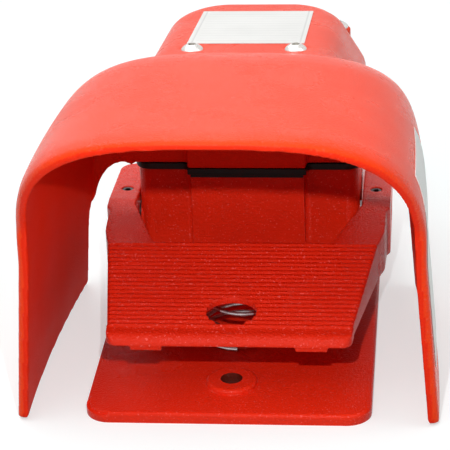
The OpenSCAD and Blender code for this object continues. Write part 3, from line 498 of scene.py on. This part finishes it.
def guard_point(q, y, inset=0.0):
    """Point of the guard's section at y, q of the way up, and inset from its outside."""
    half_w = leg_x(y) - inset
    if q < LEG_SHARE:
        z = FOOT_Z + (SPRING_Z - FOOT_Z) * q / LEG_SHARE
        return (half_w + LEG_SPLAY * (SPRING_Z - z), y, z)
    rise = crown_z(y) - SPRING_Z - inset
    turn = math.radians(90.0 * (q - LEG_SHARE) / (1.0 - LEG_SHARE))
    power = 2.0 / SQUARENESS
    x = half_w * max(0.0, math.cos(turn)) ** power
    return (x, y, SPRING_Z + rise * max(0.0, math.sin(turn)) ** power)


def brow_share(q):
    """0 up to where the brow begins to lean forward, and 1 at the crown."""
    return max(0.0, (guard_point(q, FRONT)[2] - BROW_Z) / (crown_z(FRONT) - BROW_Z))


def rim_y(q):
    return FRONT - BROW_REACH * brow_share(q) ** BROW_CURVE


RIM_ROWS, RUN_ROWS, REAR_ROWS, INNER_ROWS = 10, 30, 8, 24
RUN_CROWDING = 1.6                       # crowds the rows of the run towards the rim
RIM_L, RIM_DROP = 2.6, GUARD_T - 0.9     # the rim's round edge
BEND_L, BEND = 12.0, 1.3                 # the brow's gentle bend down to it, a part of that drop
REAR_L, REAR_DROP = 5.0, 4.0             # the round edge above the rear wall


def outer_point(k, q):
    """Point of row k on the guard's outside: round the rim, back over the roof, round the rear edge."""
    y0 = rim_y(q)
    y1, y2 = y0 + RIM_L, REAR_WALL - REAR_L
    if k > RIM_ROWS + RUN_ROWS:
        a = math.radians(90.0 * (k - RIM_ROWS - RUN_ROWS) / REAR_ROWS)
        return guard_point(q, y2 + REAR_L * math.sin(a), REAR_DROP * (1 - math.cos(a)))
    bend = BEND * min(1.0, 2.0 * brow_share(q))
    if k > RIM_ROWS:
        y = y1 + (y2 - y1) * ((k - RIM_ROWS) / RUN_ROWS) ** RUN_CROWDING
        sink = 0.0
    else:
        a = math.radians(90.0 * k / RIM_ROWS)
        y = y0 + RIM_L * (1 - math.cos(a))
        sink = (RIM_DROP - bend) * (1 - math.sin(a))
    return guard_point(q, y, sink + bend * max(0.0, 1.0 - (y - y0) / BEND_L) ** 2)


def inner_point(k, q):
    y0 = rim_y(q)
    return guard_point(q, y0 + (REAR_WALL - GUARD_T - y0) * k / INNER_ROWS, GUARD_T)


def whole_row(point, k):
    """Row k of points over both halves of the guard, from foot to foot."""
    half = [point(k, q) for q in QS]
    return half + [(-x, y, z) for x, y, z in half[-2::-1]]


def guard_shell():
    rows = [whole_row(outer_point, k) for k in range(RIM_ROWS + RUN_ROWS + REAR_ROWS + 1)]
    outer_n, inner_n = len(rows), INNER_ROWS + 1
    rows += [whole_row(inner_point, k) for k in range(inner_n)]
    points = [p for row in rows for p in row]
    first_in, last_out, last_in = outer_n * COLS, (outer_n - 1) * COLS, (len(rows) - 1) * COLS
    faces = grid_quads(outer_n, COLS) + grid_quads(inner_n, COLS, first_in, turned=True)
    faces += [[j, j + 1, first_in + j + 1, first_in + j] for j in range(COLS - 1)]
    faces += [[last_out + j for j in range(COLS)], [last_in + j for j in range(COLS)][::-1]]
    far = COLS - 1
    for c in (0, far):
        there = [k * COLS + c for k in range(outer_n)]
        faces.append(there + [first_in + k * COLS + c for k in range(inner_n)][::-1])
    faces.append([last_in, last_out, last_out + far, last_in + far])
    obj = new_object("guard_shell", points, faces)
    face_outwards(obj)
    return obj


ARCHWAY_X, ARCHWAY_Z = 55.0, 31.2       # centre of the half ellipse over each archway
ARCHWAY_R, ARCHWAY_RISE = 14.0, 26.0
HOUSING_X = 50.4                        # inner side of an archway, beside the housing
LEG_BACK_Y, LEG_BACK_Z = FRONT + 121.5, 31.0


def archway_outline():
    meet = math.degrees(math.acos((ARCHWAY_X - HOUSING_X) / ARCHWAY_R))
    side = [(ARCHWAY_R * x - ARCHWAY_X, ARCHWAY_RISE * z + ARCHWAY_Z)
            for x, z in arc(0.0, 0.0, 1.0, 180.0, meet, 24)]
    outer_x = -(ARCHWAY_X + ARCHWAY_R)
    return mirrored([(outer_x, CLEAR_Z)] + side + [(-HOUSING_X, COVER_Z)])


def leg_back_outline():
    """What is cut away behind the legs: upright, and rounded up to the rear wall."""
    r = REAR_WALL - LEG_BACK_Y + 1.0
    y = LEG_BACK_Y + r
    return [(LEG_BACK_Y, CLEAR_Z)] + arc(y, LEG_BACK_Z, r, 180.0, 90.0, 16) + [(y, CLEAR_Z)]


COVER_HALF = 49.4
COVER_CORNER_R = 35.0                   # in plan, at the rear
TOP_Y, TOP_Z, TOP_TILT = FRONT + 121.0, 111.1, 8.7
FLAT_HALF, FLANK_TILT = 28.6, 59.0
UPPER_R, LOWER_R = 13.0, 12.0           # between top and flank, and between flank and side
BACK_LEAN = 0.42                        # how far the back leans in, as a share of the sides' lean
FRONT_DROPS = (0.0, 1.9, 3.56, 5.8, 7.0)             # at this drop below its top, the cover starts
FRONT_STARTS = (113.5, 115.0, 120.0, 126.0, 128.0)   # this far behind FRONT


def cover_top(y):
    return TOP_Z - math.tan(math.radians(TOP_TILT)) * (y - TOP_Y)


def cover_flank():
    """Half width of the cover against the drop below its top, from the flat top down to the side."""
    tilt = math.radians(FLANK_TILT)
    rows = []
    for i in range(11):
        a = math.radians(FLANK_TILT * i / 10)
        rows.append((FLAT_HALF + UPPER_R * math.sin(a), UPPER_R * (1 - math.cos(a))))
    foot_x = COVER_HALF - LOWER_R * (1 - math.sin(tilt))
    foot_drop = rows[-1][1] + (foot_x - rows[-1][0]) * math.tan(tilt)
    for i in range(7):
        a = math.radians(FLANK_TILT + (90.0 - FLANK_TILT) * i / 6)
        drop = foot_drop + LOWER_R * (math.cos(tilt) - math.cos(a))
        rows.append((COVER_HALF - LOWER_R * (1 - math.sin(a)), drop))
    return rows


def cover_ring(dx, dy, y0):
    """Plan of the cover from y0 backwards, dx narrower on each side and dy shorter at the back."""
    w, y1 = COVER_HALF - dx, COVER_BACK - dy
    rx, ry = max(4.0, COVER_CORNER_R - dx), max(4.0, COVER_CORNER_R - dy)
    side = [(w, y0 + (y1 - ry - y0) * i / 8.0) for i in range(8)]
    turns = [math.radians(90.0 * i / 18) for i in range(19)]
    return mirrored(side + [(w - rx + rx * math.cos(a), y1 - ry + ry * math.sin(a)) for a in turns])


def cover_shell():
    rings = [[(x, y, COVER_Z) for x, y in cover_ring(0.0, 0.0, FRONT + FRONT_STARTS[-1])]]
    for half_w, drop in cover_flank()[::-1]:
        lean = COVER_HALF - half_w
        y0 = FRONT + float(np.interp(drop, FRONT_DROPS, FRONT_STARTS))
        rings.append([(x, y, cover_top(y) - drop) for x, y in cover_ring(lean, lean * BACK_LEAN, y0)])
    n = len(rings[0])
    points = [p for ring in rings for p in ring]
    faces = [list(range(n))[::-1], [(len(rings) - 1) * n + j for j in range(n)]]
    faces += grid_quads(len(rings), n, turned=True, closed=True)
    obj = new_object("cover_shell", points, faces)
    face_outwards(obj)
    return obj


FRONT_SCREW_X, FRONT_SCREW_Y = 22.1, FRONT + 126.6
REAR_SCREW_X, REAR_SCREW_Y, REAR_SEAT_Z = 36.0, FRONT + 214.0, 87.5
SEAT_DEPTH, SEAT_R, REAR_BOSS_R = 0.8, 5.5, 5.8
PANEL_Y0, PANEL_Y1 = FRONT + 119.8, FRONT + 128.8      # the cover's flat front face, over the gasket
PANEL_HALF, PANEL_TOP = 25.8, 105.6


def cover_screw_seats():
    front_z = cover_top(FRONT_SCREW_Y) - SEAT_DEPTH
    front = [(s * FRONT_SCREW_X, FRONT_SCREW_Y, front_z) for s in (-1, 1)]
    rear = [(s * REAR_SCREW_X, REAR_SCREW_Y, REAR_SEAT_Z) for s in (-1, 1)]
    return front, rear


INSIDE_SHADE_Z = 69.15    # where the mask of painted shade on the inner faces follows the arch instead of the legs


def mark_inside(obj):
    """Write the attribute "inside": 1 on the guard's inner faces, past the middle of its wall, else 0. The
    enamel paints shade there.
    """
    where = np.empty(len(obj.data.vertices) * 3)
    obj.data.vertices.foreach_get("co", where)
    x, y, z = where.reshape(-1, 3).T / MM
    half_t = GUARD_T / 2
    half_w = np.array([leg_x(v) for v in y]) - half_t + LEG_SPLAY * np.maximum(INSIDE_SHADE_Z - z, 0.0)
    rise = np.maximum(np.array([crown_z(v) for v in y]) - INSIDE_SHADE_Z - half_t, 1.0)
    over = np.maximum(z - INSIDE_SHADE_Z, 0.0) / rise
    under_arch = (np.abs(x) / half_w) ** SQUARENESS + over ** SQUARENESS < 1.0
    under_roof = z < CROWN_Z - 1.0 + CROWN_SLOPE * (CROWN_Y - y)
    inside = under_arch & under_roof & (y < REAR_WALL - half_t)
    attribute = obj.data.attributes.new("inside", "FLOAT", "POINT")
    attribute.data.foreach_set("value", inside.astype(np.float32))


def cover_and_guard():
    guard = guard_shell()
    wall_y0, wall_y1 = REAR_WALL - GUARD_T - 1.0, REAR_WALL + 1.0
    cut(guard, prism("archway_cutter", archway_outline(), wall_y0, wall_y1, "xz"))
    cut(guard, prism("leg_cutter", leg_back_outline(), -160.0, 160.0, "yz"))
    cover = cover_shell()
    front_seats, rear_seats = cover_screw_seats()
    for x, y, z in front_seats + rear_seats:
        cut(cover, drum("seat_cutter", x, y, z, z + 40.0, SEAT_R))
    bosses = [drum("boss", x, y, 65.0, z, REAR_BOSS_R) for x, y, z in rear_seats]
    panel = prism("panel", box_outline(PANEL_Y0, PANEL_Y1, COVER_Z, PANEL_TOP), -PANEL_HALF, PANEL_HALF, "yz")
    obj = join([guard, cover, panel] + bosses, "cover_and_guard_casting")
    fuse(obj, 0.85, 4)
    mark_inside(obj)
    obj.data.materials.append(GUARD_PAINT)
    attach(obj, "base")
    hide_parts("cover_and_guard")


cover_and_guard()


# ---- treadle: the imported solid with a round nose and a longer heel, fused ------------------------

DECK_Y, DECK_Z, DECK_TILT = 63.5, 36.4, 5.0
NOSE_Y, NOSE_R = -9.6, 3.9
NOSE_HALF, NOSE_CORNER = 49.2, 4.5
NOSE_L, NOSE_LIP = 12.0, 0.8            # the bar that carries the nose, and its lip below
TAB_X, TAB_HALF, TAB_L, TAB_DROP = 33.0, 6.4, 6.0, 2.8
HEEL_Y = 135.5                          # the heel is what the solid has behind this
HEEL_ADD, HEEL_FALL = 3.4, 0.24
HOLE_Y, RELIEF_R, HOLE_EDGE = 11.2, 13.0, 1.9
RIDGE_Y, RIDGE_PITCH, RIDGE_H, RIDGE_HALF = -2.65, 3.15, 0.9, 48.4
PAST_SIDES = 90.0                       # half width of a cutter that runs past the treadle's sides


def deck_z(y):
    return DECK_Z - math.tan(math.radians(DECK_TILT)) * (DECK_Y - y)


def lengthened_treadle():
    """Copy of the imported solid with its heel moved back."""
    solid = NODES["treadle"]
    obj = bpy.data.objects.new("treadle_solid", solid.data.copy())
    bpy.context.scene.collection.objects.link(obj)
    obj.data.transform(solid.matrix_world)
    for v in obj.data.vertices:
        if v.co.y > HEEL_Y * MM:
            v.co.y += HEEL_ADD * MM
            v.co.z -= HEEL_FALL * MM
    return obj


def nose_bar(low, top):
    """Bar with round corners in plan and a quarter-round roll along its upper front edge."""
    y1, y2 = NOSE_Y + NOSE_R, NOSE_Y + NOSE_L
    corner = arc(NOSE_HALF - NOSE_CORNER, NOSE_Y + NOSE_CORNER, NOSE_CORNER, -90.0, 0.0, 12)
    plan = mirrored(corner + [(NOSE_HALF + 0.4, NOSE_Y + 9.0)])
    bar = prism("nose", plan, low - NOSE_LIP, top, "xy")
    roll = [(NOSE_Y - 1.0, low + 0.1)] + arc(y1, low, NOSE_R, 180.0, 92.0, 12)
    roll += [(y1, top + 0.02), (y2, deck_z(y2) + 0.02), (y2, 40.0), (NOSE_Y - 1.0, 40.0)]
    cut(bar, prism("roll_cutter", roll, -PAST_SIDES, PAST_SIDES, "yz"))
    return bar


def front_ridge():
    """One more ridge in front of the solid's own."""
    y0, y3 = RIDGE_Y + 0.3, RIDGE_Y + RIDGE_PITCH - 0.3
    foot, top = deck_z(RIDGE_Y) - 1.0, deck_z(RIDGE_Y) + RIDGE_H
    outline = [(y0, foot), (y0, deck_z(RIDGE_Y)), (RIDGE_Y + RIDGE_PITCH * 0.4, top),
               (RIDGE_Y + RIDGE_PITCH * 0.65, top), (y3, deck_z(RIDGE_Y + RIDGE_PITCH)), (y3, foot)]
    return prism("ridge", outline, -RIDGE_HALF, RIDGE_HALF, "yz")


def treadle():
    obj = lengthened_treadle()
    nose_back, tab_y = NOSE_Y + NOSE_R, NOSE_Y + 0.5
    top = deck_z(nose_back)
    low = top - NOSE_R
    cut(obj, drum("hole_relief", 0.0, HOLE_Y, 20.0, deck_z(HOLE_Y) - HOLE_EDGE, RELIEF_R))
    old_nose = box_outline(-40.0, nose_back, 5.0, 60.0)
    cut(obj, prism("nose_cutter", old_nose, -PAST_SIDES, PAST_SIDES, "yz"))
    pieces = [obj, nose_bar(low, top), front_ridge()]
    for x in (-TAB_X, TAB_X):
        plan = box_outline(x - TAB_HALF, x + TAB_HALF, tab_y, tab_y + TAB_L)
        pieces.append(prism("tab", plan, low - TAB_DROP, low + 1.0, "xy"))
    obj = join(pieces, "treadle_casting")
    fuse(obj, 0.42, 3)
    obj.data.materials.clear()
    obj.data.materials.append(SHADED_TREADLE_PAINT)
    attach(obj, "treadle")
    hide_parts("treadle")


treadle()


# ---- gasket: its band is deeper in the middle of the front ---------------------------------------

LIP_HALF, LIP_DEPTH, LIP_T = 24.5, 1.0, 1.15


def gasket_lip():
    seat_z = corner_mm("cover_gasket", 0)[2]
    outline = box_outline(-LIP_HALF, LIP_HALF, seat_z - LIP_DEPTH, seat_z + 0.1)
    obj = prism("gasket_lip", outline, PANEL_Y0, PANEL_Y0 + LIP_T, "xz")
    obj.data.materials.append(RUBBER)
    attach(obj, "base")


gasket_lip()


# ---- carried-over parts: soft edges and their own finishes ---------------------------------------

def finish(name, material, edge):
    """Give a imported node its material, and soften its sharp edges by edge mm."""
    obj = NODES[name]
    obj.data.materials.clear()
    obj.data.materials.append(material)
    for polygon in obj.data.polygons:
        polygon.material_index = 0
    if edge:
        m = obj.modifiers.new("weld", "WELD")
        m.merge_threshold = 0.02 * MM
        m = obj.modifiers.new("soft_edges", "BEVEL")
        m.width = edge * MM
        m.segments = 2
        m.limit_method = "ANGLE"
        m.angle_limit = math.radians(38.0)
        m.harden_normals = True


FINISHES = (
    (SHADED_BASE_PAINT, 0.5, ["base_casting"]),
    (RUBBER, 0.4, ["cover_gasket"]),
    (RUBBER, 0.2, ["shaft_seals"]),
    (STAINLESS, 0.15, ["front_cover_screws", "rear_cover_screws", "bracket_screws",
                       "switch_mounting_screws", "terminal_screws"]),
    (STEEL, 0.2, ["pivot_shaft", "striker_screw", "striker_nut", "switch_plunger"]),
    (STEEL, 0.0, ["return_spring"]),
    (BRONZE, 0.2, ["shaft_bushes"]),
    (BLACK_OXIDE, 0.15, ["shaft_set_screws", "actuator_clamp_screw"]),
    (BARE_CASTING, 0.5, ["actuator_arm"]),
    (ZINC, 0.2, ["switch_bracket"]),
    (PHENOLIC, 0.4, ["switch_case"]),
    (BRASS, 0.15, ["switch_terminals"]),
    (GREEN, 0.15, ["ground_screw"]),
    (COVER_FILM, 0.0, ["cover_label"]),
    (SIDE_FILM, 0.0, ["guard_side_label"]),
)
for paint, edge_mm, parts in FINISHES:
    for part in parts:
        finish(part, paint, edge_mm)


# ---- floor, backdrop and light, in metres --------------------------------------------------------

FLOOR_HALF = 3.0
WHITE = (1.0, 1.0, 1.0, 1.0)


def looked_at(tree):
    """1 for rays from the camera, a gloss or a clear material, and 0 for those that light a surface."""
    path = node(tree, "ShaderNodeLightPath").outputs
    reflected = calculate(tree, "MAXIMUM", path["Is Glossy Ray"], path["Is Transmission Ray"])
    return calculate(tree, "MAXIMUM", path["Is Camera Ray"], reflected)


def floor():
    m, t, shader = blank_material("pale_floor")
    # painted light: the slight cyan cancels the red light that the paint bounces into the floor's shadows
    shader["Base Color"].default_value = (0.5, 0.56, 0.56, 1.0)
    shader["Roughness"].default_value = 0.9
    shader["Specular IOR Level"].default_value = 0.1
    shader["Emission Color"].default_value = WHITE
    t.links.new(calculate(t, "MULTIPLY", looked_at(t), 0.5), shader["Emission Strength"])
    mesh = bpy.data.meshes.new("floor")
    plan = box_outline(-FLOOR_HALF, FLOOR_HALF, -FLOOR_HALF, FLOOR_HALF)
    mesh.from_pydata([(x, y, 0.0) for x, y in plan], [], [(0, 1, 2, 3)])
    mesh.materials.append(m)
    obj = bpy.data.objects.new("floor", mesh)
    bpy.context.scene.collection.objects.link(obj)


def world():
    w = bpy.data.worlds.new("studio")
    w.use_nodes = True
    t = w.node_tree
    t.nodes.clear()
    plain, white = (node(t, "ShaderNodeBackground", {"Color": WHITE, "Strength": strength}).outputs[0]
                    for strength in (0.2, 1.0))
    pick = node(t, "ShaderNodeMixShader", {0: looked_at(t), 1: plain, 2: white}).outputs[0]
    node(t, "ShaderNodeOutputWorld", {0: pick})
    bpy.context.scene.world = w


def area_light(name, place, target, size, power):
    data = bpy.data.lights.new(name, "AREA")
    data.shape = "RECTANGLE"
    data.size, data.size_y = size
    data.energy = power
    obj = bpy.data.objects.new(name, data)
    aim = (Vector(target) - Vector(place)).to_track_quat("-Z", "Y")
    obj.matrix_world = Matrix.Translation(place) @ aim.to_matrix().to_4x4()
    bpy.context.scene.collection.objects.link(obj)
    obj.visible_camera = False


floor()
world()
area_light("overhead_softbox", (-0.2, -0.1, 1.1), (0.0, 0.03, 0.05), (1.0, 1.2), 7.6)
area_light("rear_softbox", (-0.3, 0.7, 0.9), (0.0, 0.1, 0.04), (0.6, 0.4), 3.9)
area_light("front_lamp", (0.035, -0.33, 0.284), (0.0, 0.03, 0.05), (0.006, 0.006), 1.0)
area_light("left_fill", (-1.1, -0.35, 0.8), (0.0, 0.05, 0.05), (0.6, 0.8), 1.0)
area_light("right_fill", (0.9, 0.0, 1.0), (0.0, 0.05, 0.08), (0.6, 0.8), 3.0)

bpy.context.scene.view_settings.view_transform = "Standard"
